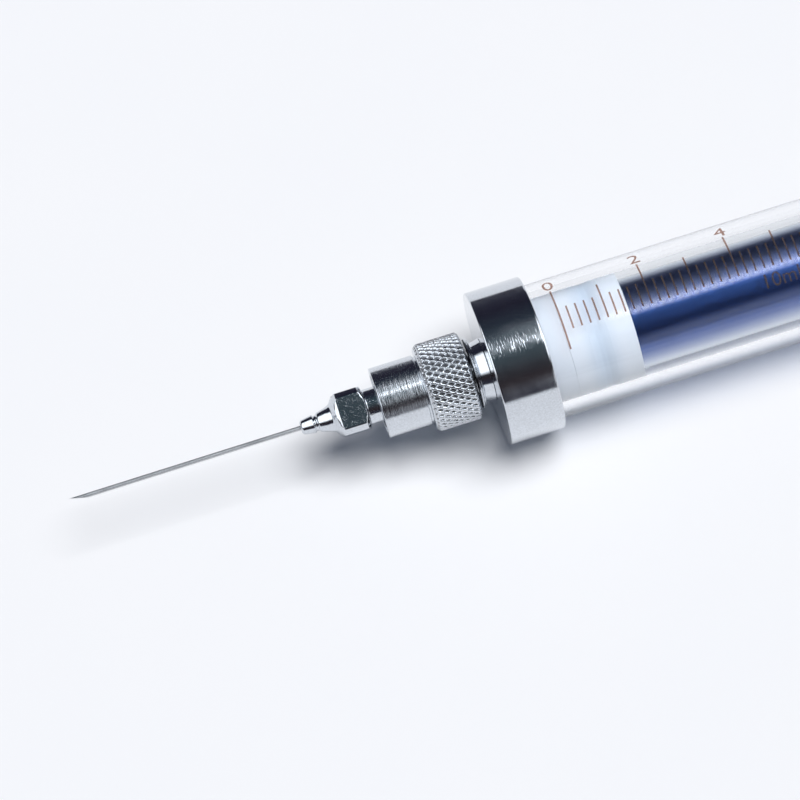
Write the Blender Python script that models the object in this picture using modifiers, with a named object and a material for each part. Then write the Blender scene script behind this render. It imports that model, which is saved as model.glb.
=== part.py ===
"""A 10 mL glass syringe with a metal Luer-lock end and a removable needle, lying on its side.

The axis runs along X, with the needle towards -X and the thumb button towards +X. Z is up, and the syringe
rests at z = 0 on its front cap and on the lower flat of its finger flange. The origin is on that resting
plane, under the middle of the whole length.

Stations are millimetres along the axis behind the front face of the front cap, and radii are millimetres
too. MM turns both into Blender's metres.
"""

import math

import bmesh
import bpy
from mathutils import Matrix

MM = 0.001

# Pieces that are fixed to each other or rest on each other stand this far apart, and pieces that slide or
# turn in each other have the smaller clearance all round.
GAP = 0.3
RUNNING = 0.06

# The glass: a 10 mL bore, graduated over 60 mm.
BORE_RADIUS = 7.285
GLASS_RADIUS = 9.25
SCALE_LENGTH = 60.0
ZERO_STATION = 10.55
GASKET = 0.8

# The metal caps, and the finger flange whose flats keep the syringe from rolling.
CAP_RADIUS = 10.6
CAP_LENGTH = 7.6
CAP_WALL = 1.6
GLASS_FRONT = CAP_WALL + GASKET + 2 * GAP
GLASS_REAR = ZERO_STATION + SCALE_LENGTH + 12.5
SLEEVE_RADIUS = 10.2
SLEEVE_FRONT = GLASS_REAR - 7.0
SHOULDER = GLASS_REAR + GASKET + 2 * GAP
SLEEVE_REAR = SHOULDER + 0.8
NECK_RADIUS = 8.4
NECK_BORE = 7.4
NECK_REAR = SLEEVE_REAR + 4.8
FLANGE_RADIUS = 15.0
FLANGE_THICKNESS = 2.2

# The plunger, pushed fully in: its piston's front face is at the zero line.
PISTON_LENGTH = 9.05
PISTON_REAR = ZERO_STATION + PISTON_LENGTH
TRAVEL = SCALE_LENGTH + 2.0
ROD_RADIUS = 6.25
ROD_BORE = 5.05
ROD_REAR = NECK_REAR + 10.0
BUTTON_RADIUS = 9.5
BUTTON_THICKNESS = 4.0
BUTTON_REAR = ROD_REAR + GAP + BUTTON_THICKNESS

# The Luer-lock end: a 6 % taper, and a two-start right-hand thread with a 5 mm lead.
TAPER = 0.03
MALE_TIP = -17.2
MALE_TIP_RADIUS = 1.965
THREAD_LEAD = 5.0
COLLAR_FRONT = -15.2
KNURL_FRONT = -8.85
COLLAR_REAR = -2.5
COLLAR_RADIUS = 4.85
KNURL_RADIUS = 6.05
COLLAR_FLOOR = -8.5
LUG_STATION = -11.8

# The needle.
NEEDLE_TIP = -58.3
CANNULA_RADIUS = 0.32
LUMEN_RADIUS = 0.16
HUB_FRONT = -26.1
HUB_MOUTH = -11.4

# Angles about the axis, in degrees from straight down towards +Y: one of the hub's flats, and the side that
# the needle's bevel looks to.
HUB_FACE = 27
BEVEL_FACE = -58

# How many flats a round piece is cut into, by its size.
LARGE, MEDIUM, SMALL = 48, 32, 16

MIDDLE = (NEEDLE_TIP + BUTTON_REAR) / 2
AXIS_HEIGHT = CAP_RADIUS


def clear_scene():
    for obj in list(bpy.data.objects):
        bpy.data.objects.remove(obj, do_unlink=True)


def new_collection(name):
    collection = bpy.data.collections.new(name)
    bpy.context.scene.collection.children.link(collection)
    return collection


def new_material(name, colour, roughness, metallic):
    material = bpy.data.materials.new(name)
    material.use_nodes = True
    shader = material.node_tree.nodes["Principled BSDF"]
    shader.inputs["Base Color"].default_value = (*colour, 1.0)
    shader.inputs["Roughness"].default_value = roughness
    shader.inputs["Metallic"].default_value = metallic
    return material


def new_axis(name):
    """An empty on the syringe's axis at station 0, whose own Z runs along that axis towards the button."""
    empty = bpy.data.objects.new(name, None)
    syringe.objects.link(empty)
    empty.location = (-MIDDLE * MM, 0, AXIS_HEIGHT * MM)
    empty.rotation_euler = (0, math.radians(90), 0)
    return empty


def place(obj, collection, parent=None, material=None):
    """Moves the object into the collection, hangs it on its axis and gives it its material."""
    for old in list(obj.users_collection):
        old.objects.unlink(obj)
    collection.objects.link(obj)
    obj.parent = parent
    if material:
        obj.data.materials.clear()
        obj.data.materials.append(material)
    if collection is cutters:
        obj.hide_render = True
        obj.display_type = "WIRE"
    return obj


def turned(name, profile, material, parent, steps=LARGE):
    """A lathe-turned piece. profile lists (station, radius) along the outside to the rear and back inside.

    A profile that begins on the axis also ends there; any other is closed into a ring.
    """
    points = [(radius * MM, 0, station * MM) for station, radius in profile[::-1]]
    edges = [(i, i + 1) for i in range(len(points) - 1)]
    if profile[0][1] > 0:
        edges.append((len(points) - 1, 0))
    mesh = bpy.data.meshes.new(name)
    mesh.from_pydata(points, edges, [])
    obj = place(bpy.data.objects.new(name, mesh), syringe, parent, material)
    screw = obj.modifiers.new("Turn", "SCREW")
    screw.steps = screw.render_steps = steps
    screw.use_merge_vertices = True
    screw.merge_threshold = 1e-6
    screw.use_smooth_shade = True
    return obj


def flat_ring(name, front, rear, inner_radius, outer_radius, material, parent, steps=LARGE):
    profile = [(front, outer_radius), (rear, outer_radius), (rear, inner_radius), (front, inner_radius)]
    return turned(name, profile, material, parent, steps)


def hexagon(name, front, rear, across_corners, collection, parent, material=None):
    bpy.ops.mesh.primitive_cylinder_add(
        vertices=6, radius=across_corners / 2 * MM, depth=(rear - front) * MM
    )
    prism = place(bpy.context.object, collection, parent, material)
    prism.name = name
    prism.location = (0, 0, (front + rear) / 2 * MM)
    return prism


def box(name, size, matrix, parent):
    """A helper box for a Boolean. Its size and its matrix's translation are in millimetres."""
    shape = bmesh.new()
    bmesh.ops.create_cube(shape, size=1.0, matrix=matrix @ Matrix.Diagonal((*size, 1.0)))
    bmesh.ops.scale(shape, vec=(MM, MM, MM), verts=shape.verts)
    mesh = bpy.data.meshes.new(name)
    shape.to_mesh(mesh)
    shape.free()
    return place(bpy.data.objects.new(name, mesh), cutters, parent)


def combine(obj, helper, operation):
    boolean = obj.modifiers.new(helper.name, "BOOLEAN")
    boolean.operation = operation
    boolean.object = helper


def around(angle):
    """The turn about the syringe's axis that carries angle 0, straight down, to this angle in degrees."""
    return Matrix.Rotation(math.radians(angle), 4, "Z")


def o_ring(name, station, radius, section, parent):
    """An O-ring: radius is to the middle of its section, whose own radius is section."""
    bpy.ops.mesh.primitive_torus_add(
        major_radius=radius * MM, minor_radius=section * MM, major_segments=24, minor_segments=8
    )
    ring = place(bpy.context.object, syringe, parent, rubber)
    ring.name = name
    ring.location = (0, 0, station * MM)
    ring.data.shade_smooth()
    return ring


def male_radius(station):
    """The male Luer cone's radius at a station."""
    return MALE_TIP_RADIUS + TAPER * (station - MALE_TIP)


# ------------------------------------------------------------------ the barrel


def make_glass():
    """The precision-bore tube, with its rims fire-polished."""
    polish = 0.35
    profile = [
        (GLASS_FRONT, GLASS_RADIUS - polish),
        (GLASS_FRONT + polish, GLASS_RADIUS),
        (GLASS_REAR - polish, GLASS_RADIUS),
        (GLASS_REAR, GLASS_RADIUS - polish),
        (GLASS_REAR, BORE_RADIUS + polish),
        (GLASS_REAR - polish, BORE_RADIUS),
        (GLASS_FRONT + polish, BORE_RADIUS),
        (GLASS_FRONT, BORE_RADIUS + polish),
    ]
    turned("glass_barrel", profile, glass, barrel)


def make_front_cap():
    """A chromed cup cemented over the front of the glass, with the hole that the Luer stem bolts through."""
    chamfer = 0.25
    stem_hole = 2.95
    inside = GLASS_RADIUS + GAP
    profile = [
        (0, CAP_RADIUS - chamfer),
        (chamfer, CAP_RADIUS),
        (CAP_LENGTH - chamfer, CAP_RADIUS),
        (CAP_LENGTH, CAP_RADIUS - chamfer),
        (CAP_LENGTH, inside),
        (CAP_WALL, inside),
        (CAP_WALL, stem_hole),
        (0, stem_hole),
    ]
    turned("front_cap", profile, chrome, barrel)


def make_front_seal():
    """The white plug that fills the bore up to the zero line, the stem's O-ring in it, and the rim gasket."""
    front, rear = CAP_WALL + GAP, ZERO_STATION - GAP
    radius = BORE_RADIUS - GAP
    nut_pocket, pocket_end = 5.1, 5.0
    gland, gland_end = 3.2, 6.6
    spigot_hole = 2.05
    profile = [
        (front, radius),
        (rear, radius),
        (rear, spigot_hole),
        (gland_end, spigot_hole),
        (gland_end, gland),
        (pocket_end, gland),
        (pocket_end, nut_pocket),
        (front, nut_pocket),
    ]
    turned("front_plug", profile, ptfe, barrel)
    o_ring("stem_oring", (pocket_end + gland_end) / 2, 2.48, 0.42, barrel)
    flat_ring("front_gasket", CAP_WALL + GAP, GLASS_FRONT - GAP, 7.6, 9.0, rubber, barrel)


def make_luer_stem():
    """The male Luer cone, the journal that the locking collar turns on, and the bolt through the cap."""
    cone_base, groove_front, journal_rear = -10.2, -9.65, -2.2
    journal, groove = 2.9, 2.35
    rim, neck, body = 4.98, 4.5, 4.17
    bolt, bolt_rear, spigot, spigot_rear = 2.65, 4.7, 1.75, ZERO_STATION - 0.6
    flow = 0.75
    profile = [
        (MALE_TIP, MALE_TIP_RADIUS - 0.12),
        (MALE_TIP + 0.12, male_radius(MALE_TIP + 0.12)),
        (cone_base, male_radius(cone_base)),
        (cone_base, journal - 0.2),
        (cone_base + 0.2, journal),
        (groove_front, journal),
        (groove_front, groove),
        (COLLAR_FLOOR, groove),
        (COLLAR_FLOOR, journal),
        (journal_rear, journal),
        (journal_rear, rim - 0.23),
        (journal_rear + 0.2, rim),
        (-1.75, rim),
        (-1.75, neck),
        (-1.15, neck),
        (-1.15, body),
        (-GAP, body),
        (-GAP, bolt),
        (bolt_rear, bolt),
        (bolt_rear, spigot),
        (spigot_rear, spigot),
        (spigot_rear, flow),
        (MALE_TIP, flow),
    ]
    turned("luer_stem", profile, chrome, barrel, MEDIUM)


def make_stem_nut():
    """The hexagon nut inside the cap that bolts the stem to it."""
    front, thickness, bore = CAP_WALL + GAP, 2.6, 2.95
    nut = hexagon("stem_nut", front, front + thickness, 9.3, syringe, barrel, steel)
    bpy.ops.mesh.primitive_cylinder_add(vertices=MEDIUM, radius=bore * MM, depth=3 * thickness * MM)
    drill = place(bpy.context.object, cutters, barrel)
    drill.name = "nut_bore"
    drill.location = nut.location
    combine(nut, drill, "DIFFERENCE")


def make_collar_circlip():
    """The spring clip in the stem's groove that keeps the locking collar on."""
    rear, thickness = COLLAR_FLOOR - GAP, 0.5
    inner, outer, opening = 2.65, 3.6, 2.4
    front = rear - thickness
    clip = flat_ring("collar_circlip", front, rear, inner, outer, steel, barrel, MEDIUM)
    mouth = Matrix.Translation((outer, 0, (front + rear) / 2))
    combine(clip, box("circlip_mouth", (outer, opening, 2), mouth, barrel), "DIFFERENCE")


def make_rear_end():
    """The rear sleeve cemented over the glass, its cushion, the rod's guide bush, the flange and its nut."""
    chamfer = 0.25
    inside = GLASS_RADIUS + GAP
    profile = [
        (SLEEVE_FRONT, SLEEVE_RADIUS - chamfer),
        (SLEEVE_FRONT + chamfer, SLEEVE_RADIUS),
        (SLEEVE_REAR, SLEEVE_RADIUS),
        (SLEEVE_REAR, NECK_RADIUS),
        (NECK_REAR - chamfer, NECK_RADIUS),
        (NECK_REAR, NECK_RADIUS - chamfer),
        (NECK_REAR, NECK_BORE),
        (SHOULDER, NECK_BORE),
        (SHOULDER, inside),
        (SLEEVE_FRONT, inside),
    ]
    turned("rear_sleeve", profile, chrome, barrel)
    flat_ring("rear_gasket", GLASS_REAR + GAP, SHOULDER - GAP, 7.6, 9.0, rubber, barrel)

    bush_front, bush_rear = PISTON_REAR + TRAVEL + GAP, NECK_REAR - GAP
    slim, full, bore = BORE_RADIUS - GAP, NECK_BORE - GAP, ROD_RADIUS + RUNNING
    profile = [(bush_front, slim), (SHOULDER, slim), (SHOULDER, full), (bush_rear, full)]
    turned("guide_bush", profile + [(bush_rear, bore), (bush_front, bore)], ptfe, barrel)

    flange_front = SLEEVE_REAR + GAP
    make_flange(flange_front)
    make_ring_nut(flange_front + FLANGE_THICKNESS + GAP, NECK_REAR - 0.2)


def make_flange(front):
    """The finger flange: a round plate with a raised middle, cut to two flats level with the front cap."""
    boss_radius, boss_height = 10.4, 0.3
    rear, bore = front + FLANGE_THICKNESS, NECK_RADIUS + GAP
    profile = [
        (front, boss_radius),
        (front + boss_height, boss_radius),
        (front + boss_height, FLANGE_RADIUS),
        (rear - boss_height, FLANGE_RADIUS),
        (rear - boss_height, boss_radius),
        (rear, boss_radius),
        (rear, bore),
        (front, bore),
    ]
    flange = turned("finger_flange", profile, chrome, barrel)
    depth, width = 8.0, 3 * FLANGE_RADIUS
    for i in range(2):
        beyond = Matrix.Translation((AXIS_HEIGHT + depth / 2, 0, (front + rear) / 2))
        flat = box(f"flange_flat_{i}", (depth, width, 2 * FLANGE_THICKNESS), around(180 * i) @ beyond, barrel)
        combine(flange, flat, "DIFFERENCE")


def make_ring_nut(front, rear):
    """The slotted ring nut that clamps the flange against the sleeve."""
    radius, bore, chamfer, slots = 9.9, NECK_RADIUS + GAP, 0.3, 4
    profile = [(front, radius), (rear - chamfer, radius), (rear, radius - chamfer)]
    profile += [(rear, bore), (front, bore)]
    nut = turned("flange_nut", profile, chrome, barrel)
    for i in range(slots):
        matrix = around(45 + 360 / slots * i) @ Matrix.Translation((radius, 0, rear))
        combine(nut, box(f"nut_slot_{i}", (1.4, 1.8, 2.0), matrix, barrel), "DIFFERENCE")


# ------------------------------------------------------------------ the plunger


def make_piston():
    """The white piston cup with its waist, its metal core, and the two O-rings between them."""
    lip, waist = BORE_RADIUS - RUNNING, BORE_RADIUS - 0.35
    cavity, cavity_front = 5.3, ZERO_STATION + 1.8
    profile = [
        (ZERO_STATION, 0),
        (ZERO_STATION, lip - 0.15),
        (ZERO_STATION + 0.15, lip),
        (ZERO_STATION + 2.9, lip),
        (ZERO_STATION + 3.2, waist),
        (ZERO_STATION + 5.2, waist),
        (ZERO_STATION + 5.5, lip),
        (PISTON_REAR, lip),
        (PISTON_REAR, cavity),
        (cavity_front, cavity),
        (cavity_front, 0),
    ]
    turned("piston_head", profile, ptfe, plunger)

    body, groove, half_groove, stud, stud_end = 5.0, 3.3, 1.0, 1.9, PISTON_REAR + 8.0
    rings = (ZERO_STATION + 3.6, ZERO_STATION + 6.6)
    profile = [(cavity_front + GAP, 0), (cavity_front + GAP, body)]
    for ring in rings:
        profile += [
            (ring - half_groove, body),
            (ring - half_groove, groove),
            (ring + half_groove, groove),
            (ring + half_groove, body),
        ]
    profile += [(PISTON_REAR, body), (PISTON_REAR, stud), (stud_end, stud), (stud_end, 0)]
    turned("piston_core", profile, aluminium, plunger, MEDIUM)
    for name, ring in zip(("piston_oring_front", "piston_oring_rear"), rings):
        o_ring(name, ring, 4.3, 0.7, plunger)


def make_rod():
    """The blue anodised rod tube, and the threaded inserts pressed into its ends."""
    front, edge = PISTON_REAR + GAP, 0.2
    profile = [
        (front, ROD_RADIUS - edge),
        (front + edge, ROD_RADIUS),
        (ROD_REAR - edge, ROD_RADIUS),
        (ROD_REAR, ROD_RADIUS - edge),
        (ROD_REAR, ROD_BORE),
        (front, ROD_BORE),
    ]
    turned("plunger_rod", profile, blue, plunger)
    insert, length = ROD_BORE - GAP, 11.0
    stud_hole, screw_hole = 2.2, 1.8
    flat_ring("rod_front_insert", front, front + length, stud_hole, insert, aluminium, plunger, MEDIUM)
    flat_ring("rod_rear_insert", ROD_REAR - length, ROD_REAR, screw_hole, insert, aluminium, plunger, MEDIUM)


def make_button():
    """The thumb button, and the socket screw that holds it to the rod."""
    front, edge = ROD_REAR + GAP, 0.6
    pocket, pocket_floor, screw_hole = 3.2, BUTTON_REAR - 2.4, 1.8
    profile = [
        (front, BUTTON_RADIUS - edge),
        (front + edge, BUTTON_RADIUS),
        (BUTTON_REAR - edge, BUTTON_RADIUS),
        (BUTTON_REAR, BUTTON_RADIUS - edge),
        (BUTTON_REAR, pocket),
        (pocket_floor, pocket),
        (pocket_floor, screw_hole),
        (front, screw_hole),
    ]
    turned("thumb_button", profile, chrome, plunger)

    shank, head, head_front, head_rear = 1.5, 2.8, pocket_floor + GAP, BUTTON_REAR - 0.2
    shank_end = ROD_REAR - 9.0
    profile = [
        (shank_end, 0),
        (shank_end, shank),
        (head_front, shank),
        (head_front, head),
        (head_rear, head),
        (head_rear, 0),
    ]
    screw = turned("button_screw", profile, steel, plunger, MEDIUM)
    key_depth = 1.2
    key = hexagon("screw_socket", head_rear - key_depth, head_rear + key_depth, 2.9, cutters, plunger)
    combine(screw, key, "DIFFERENCE")


# ------------------------------------------------------------------ the Luer-lock collar


def make_collar():
    """The knurled locking collar, which turns on the stem's journal and is threaded inside its nose."""
    groove, chamfer = 0.35, 0.55
    thread_radius, bearing = 4.05, 2.9 + RUNNING
    profile = [
        (COLLAR_FRONT, COLLAR_RADIUS - 0.2),
        (COLLAR_FRONT + 0.2, COLLAR_RADIUS),
        (KNURL_FRONT - groove, COLLAR_RADIUS),
        (KNURL_FRONT - groove, COLLAR_RADIUS - 0.25),
        (KNURL_FRONT, COLLAR_RADIUS - 0.25),
        (KNURL_FRONT, KNURL_RADIUS - chamfer),
        (KNURL_FRONT + chamfer, KNURL_RADIUS),
        (COLLAR_REAR - chamfer / 2, KNURL_RADIUS),
        (COLLAR_REAR, KNURL_RADIUS - chamfer / 2),
        (COLLAR_REAR, bearing),
        (COLLAR_FLOOR, bearing),
        (COLLAR_FLOOR, thread_radius),
        (COLLAR_FRONT, thread_radius),
    ]
    body = turned("luer_collar", profile, chrome, collar)
    for start in range(2):
        combine(body, thread_ridge(start, thread_radius), "UNION")


def thread_ridge(start, radius):
    """One start of the collar's thread: a round wire half sunk in the wall, along a right-handed helix.

    The two starts lie half a pitch to each side of the hub's lugs.
    """
    first, last, points, wire = -14.5, -10.2, 23, 0.5
    crest = LUG_STATION + THREAD_LEAD / 4
    curve = bpy.data.curves.new(f"thread_wire_{start}", "CURVE")
    curve.dimensions = "3D"
    curve.bevel_depth = wire * MM
    curve.bevel_resolution = 1
    curve.use_fill_caps = True
    spline = curve.splines.new("POLY")
    spline.points.add(points - 1)
    for i, point in enumerate(spline.points):
        station = first + (last - first) * i / (points - 1)
        angle = 2 * math.pi * (station - crest) / THREAD_LEAD + math.pi * start
        point.co = (radius * math.cos(angle) * MM, radius * math.sin(angle) * MM, station * MM, 1)
    wire_object = place(bpy.data.objects.new(curve.name, curve), syringe)
    graph = bpy.context.evaluated_depsgraph_get()
    mesh = bpy.data.meshes.new_from_object(wire_object.evaluated_get(graph))
    bpy.data.objects.remove(wire_object, do_unlink=True)
    shape = bmesh.new()
    shape.from_mesh(mesh)
    bmesh.ops.remove_doubles(shape, verts=shape.verts, dist=1e-6)
    bmesh.ops.recalc_face_normals(shape, faces=shape.faces)
    shape.to_mesh(mesh)
    shape.free()
    return place(bpy.data.objects.new(f"thread_ridge_{start}", mesh), cutters, collar)


# ------------------------------------------------------------------ the needle


def make_hub():
    """The chromed hub: crimped nose, square grip, neck, and two lugs at its Luer mouth."""
    solder, neck, skirt, corner = 0.1, 2.42, 2.75, 3.6
    cannula_hole = CANNULA_RADIUS + solder
    cavity, cavity_front, seat_front = 1.2, -18.6, MALE_TIP - 0.6
    profile = [
        (HUB_FRONT, 0.75),
        (HUB_FRONT + 0.25, 0.98),
        (HUB_FRONT + 1.8, 1.25),
        (HUB_FRONT + 2.0, 1.06),
        (HUB_FRONT + 2.3, 1.06),
        (HUB_FRONT + 2.5, 1.32),
        (-22.3, 1.66),
        (-21.7, 1.95),
        (-21.25, 2.6),
        (-20.6, corner),
        (-17.5, corner),
        (-17.1, 3.05),
        (-16.95, neck),
        (-13.4, neck),
        (-13.0, skirt),
        (HUB_MOUTH, skirt),
        (HUB_MOUTH, male_radius(HUB_MOUTH) + RUNNING),
        (seat_front, male_radius(seat_front) + RUNNING),
        (seat_front, cavity),
        (cavity_front, cavity),
        (cavity_front - 0.4, cannula_hole),
        (HUB_FRONT, cannula_hole),
    ]
    hub = turned("needle_hub", profile, chrome, needle, MEDIUM)
    half_square, depth, length = 2.9, 4.0, 4.6
    for i in range(4):
        beyond = Matrix.Translation((half_square + depth / 2, 0, -19.3))
        flat = box(f"hub_flat_{i}", (depth, 12, length), around(HUB_FACE + 90 * i) @ beyond, needle)
        combine(hub, flat, "DIFFERENCE")
    lug_inner, lug_outer, lug_width, lug_thickness = 2.45, 3.7, 2.6, 0.7
    lead_angle = math.atan(THREAD_LEAD / (2 * math.pi * lug_outer))
    for i in range(2):
        middle = Matrix.Translation(((lug_inner + lug_outer) / 2, 0, LUG_STATION))
        matrix = around(180 * i) @ middle @ Matrix.Rotation(lead_angle, 4, "X")
        lug = box(f"hub_lug_{i}", (lug_outer - lug_inner, lug_width, lug_thickness), matrix, needle)
        combine(hub, lug, "UNION")


def make_cannula():
    """The stainless tube, its tip ground to a bevel."""
    rear, bevel_length = -19.4, 2.6
    cannula = flat_ring(
        "needle_cannula", NEEDLE_TIP, rear, LUMEN_RADIUS, CANNULA_RADIUS, stainless, needle, SMALL
    )
    slope, depth = math.atan(2 * CANNULA_RADIUS / bevel_length), 4.0
    matrix = (
        around(BEVEL_FACE)
        @ Matrix.Translation((-CANNULA_RADIUS, 0, NEEDLE_TIP))
        @ Matrix.Rotation(slope, 4, "Y")
        @ Matrix.Translation((depth / 2, 0, 0))
    )
    combine(cannula, box("bevel", (depth, depth, 12), matrix, needle), "DIFFERENCE")


# ------------------------------------------------------------------ the whole syringe

clear_scene()
syringe = new_collection("glass_syringe")
cutters = new_collection("cutters")

glass = new_material("borosilicate_glass", (0.93, 0.95, 0.97), 0.02, 0.0)
chrome = new_material("bright_chrome", (0.72, 0.73, 0.75), 0.12, 1.0)
stainless = new_material("stainless_steel", (0.5, 0.5, 0.52), 0.3, 1.0)
steel = new_material("plain_steel", (0.55, 0.55, 0.56), 0.4, 1.0)
aluminium = new_material("plain_aluminium", (0.75, 0.75, 0.76), 0.4, 1.0)
blue = new_material("blue_anodised", (0.05, 0.08, 0.4), 0.2, 1.0)
ptfe = new_material("white_ptfe", (0.9, 0.92, 0.93), 0.45, 0.0)
rubber = new_material("black_rubber", (0.03, 0.03, 0.03), 0.7, 0.0)

barrel = new_axis("barrel_axis")
plunger = new_axis("plunger_axis")
collar = new_axis("collar_axis")
needle = new_axis("needle_axis")

make_glass()
make_front_cap()
make_front_seal()
make_luer_stem()
make_stem_nut()
make_collar_circlip()
make_rear_end()
make_piston()
make_rod()
make_button()
make_collar()
make_hub()
make_cannula()
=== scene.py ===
"""The finished look of a 10 mL glass syringe with a metal Luer-lock end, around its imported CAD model."""
import math

import bmesh
import bpy
import numpy as np
from mathutils import Matrix, Vector


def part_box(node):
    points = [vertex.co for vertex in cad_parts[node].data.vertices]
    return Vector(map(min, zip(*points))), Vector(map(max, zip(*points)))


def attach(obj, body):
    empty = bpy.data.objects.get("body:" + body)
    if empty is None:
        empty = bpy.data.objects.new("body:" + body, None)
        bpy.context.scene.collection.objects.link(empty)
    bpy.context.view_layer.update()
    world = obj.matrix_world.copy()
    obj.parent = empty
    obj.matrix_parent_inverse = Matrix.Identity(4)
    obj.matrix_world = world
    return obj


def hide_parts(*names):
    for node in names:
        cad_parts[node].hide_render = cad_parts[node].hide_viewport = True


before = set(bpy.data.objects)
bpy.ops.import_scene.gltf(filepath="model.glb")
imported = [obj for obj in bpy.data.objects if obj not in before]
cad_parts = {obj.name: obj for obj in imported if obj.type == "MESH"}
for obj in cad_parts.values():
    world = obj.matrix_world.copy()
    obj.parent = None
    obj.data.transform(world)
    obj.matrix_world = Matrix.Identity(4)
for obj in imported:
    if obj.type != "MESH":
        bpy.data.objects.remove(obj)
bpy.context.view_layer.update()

# ------------------------------------------------------------------------------------------ the studio
# A white sheet lies under the syringe, and one broad lamp overhead gives the soft shadow. Bright metal
# shows a dark room instead, with a graded ceiling, soft panels and a white horizon.

# The syringe lies along X, needle towards -X, with its axis level above the floor. Sizes are millimetres,
# and a station is counted along the axis from the front face of the front cap.
MM = 0.001
cap_low, cap_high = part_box("front_cap")
CAP_FRONT = cap_low.x
AXIS_HEIGHT = (cap_low.z + cap_high.z) / 2

# An angle is a turn about the syringe's axis: 0 looks level to the camera's side and 90 straight up. The
# ceiling is stops of an angle and a colour. A panel is its two edges as such angles, its two ends as shares
# of a direction along X, the softness of its edges in degrees, and its brightness. The first four panels
# end along X where, from the camera, only the glass and the rod show them.
CEILING = (
    (12, (0.03, 0.03, 0.045)),
    (30, (0.032, 0.024, 0.028)),
    (48, (0.04, 0.042, 0.05)),
    (70, (0.06, 0.085, 0.10)),
    (90, (0.045, 0.075, 0.095)),
    (110, (0.03, 0.042, 0.06)),
    (145, (0.02, 0.02, 0.035)),
    (168, (0.035, 0.036, 0.055)),
)
PANELS = (
    ((79, 88), (0.118, 0.9), 6, 4.2),
    ((86, 106), (0.118, 0.9), 14, 1.1),
    ((168, 184), (0.118, 0.9), 5, 0.7),
    ((8, 24), (0.118, 0.9), 12, 0.75),
    ((48, 112), (0.24, 0.97), 9, 1.8),
    ((48, 125), (-0.97, -0.22), 9, 1.8),
)
LENS, SENSOR = 135.0, 36.0
LOOK_DOWN, TILT, TURN = 60.0, 2.56, 17.5
CAMERA_DISTANCE, AIM_RIGHT, AIM_UP = 401.0, 11.64, 4.11


def aim_camera():
    """The camera looks down at the axis by LOOK_DOWN degrees, leans TILT past square to it, and rolls so
    that the axis climbs TURN degrees to the right. The front cap's face is AIM_RIGHT and AIM_UP off the
    middle of the view, in millimetres."""
    down, tilt, turn = (math.radians(angle) for angle in (LOOK_DOWN, TILT, TURN))
    back = Vector((-math.sin(tilt), -math.cos(tilt) * math.cos(down), math.cos(tilt) * math.sin(down)))
    along = (Vector((1, 0, 0)) - back * back.x).normalized()
    across = back.cross(along)
    right = along * math.cos(turn) - across * math.sin(turn)
    up = along * math.sin(turn) + across * math.cos(turn)
    centre = Vector((CAP_FRONT, 0, AXIS_HEIGHT))
    place = centre + (back * CAMERA_DISTANCE - right * AIM_RIGHT - up * AIM_UP) * MM
    data = bpy.data.cameras.new("camera")
    data.lens, data.sensor_width = LENS, SENSOR
    data.clip_start, data.clip_end = 0.01, 20.0
    camera = bpy.data.objects.new("camera", data)
    bpy.context.scene.collection.objects.link(camera)
    rows = Matrix((right, up, back)).transposed().to_4x4()
    camera.matrix_world = Matrix.Translation(place) @ rows
    bpy.context.scene.camera = camera


def add(nodes, kind, **settings):
    """A new shader node, with its plain properties and its unlinked inputs set by name."""
    node = nodes.new(kind)
    for key, value in settings.items():
        if hasattr(node, key):
            setattr(node, key, value)
        else:
            node.inputs[key.replace("_", " ")].default_value = value
    return node


def math_node(tree, operation, first, second=0.0):
    """operation on two values, each a number or an output socket."""
    node = add(tree.nodes, "ShaderNodeMath", operation=operation)
    for socket, value in zip(node.inputs, (first, second)):
        if isinstance(value, bpy.types.NodeSocket):
            tree.links.new(value, socket)
        else:
            socket.default_value = value
    return node.outputs[0]


def ramp(tree, value, low, high):
    """0 below low and 1 above high, smooth between; low may be the larger."""
    node = add(tree.nodes, "ShaderNodeMapRange", interpolation_type="SMOOTHSTEP")
    tree.links.new(value, node.inputs["Value"])
    node.inputs["From Min"].default_value, node.inputs["From Max"].default_value = low, high
    return node.outputs["Result"]


def light_panel(tree, turn, lengthways, edges, ends, soft, radiance):
    """The glow of a rectangular panel: edges are angles over the barrel from the camera side's horizon in
    degrees, ends are the direction's share along X."""
    first = ramp(tree, turn, math.radians(edges[0] - soft), math.radians(edges[0] + soft))
    last = ramp(tree, turn, math.radians(edges[1] + soft), math.radians(edges[1] - soft))
    glow = math_node(tree, "MULTIPLY", first, last)
    fade = 0.012
    glow = math_node(tree, "MULTIPLY", glow, ramp(tree, lengthways, ends[0] - fade, ends[0] + fade))
    glow = math_node(tree, "MULTIPLY", glow, ramp(tree, lengthways, ends[1] + fade, ends[1] - fade))
    return math_node(tree, "MULTIPLY", glow, radiance)


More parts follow.
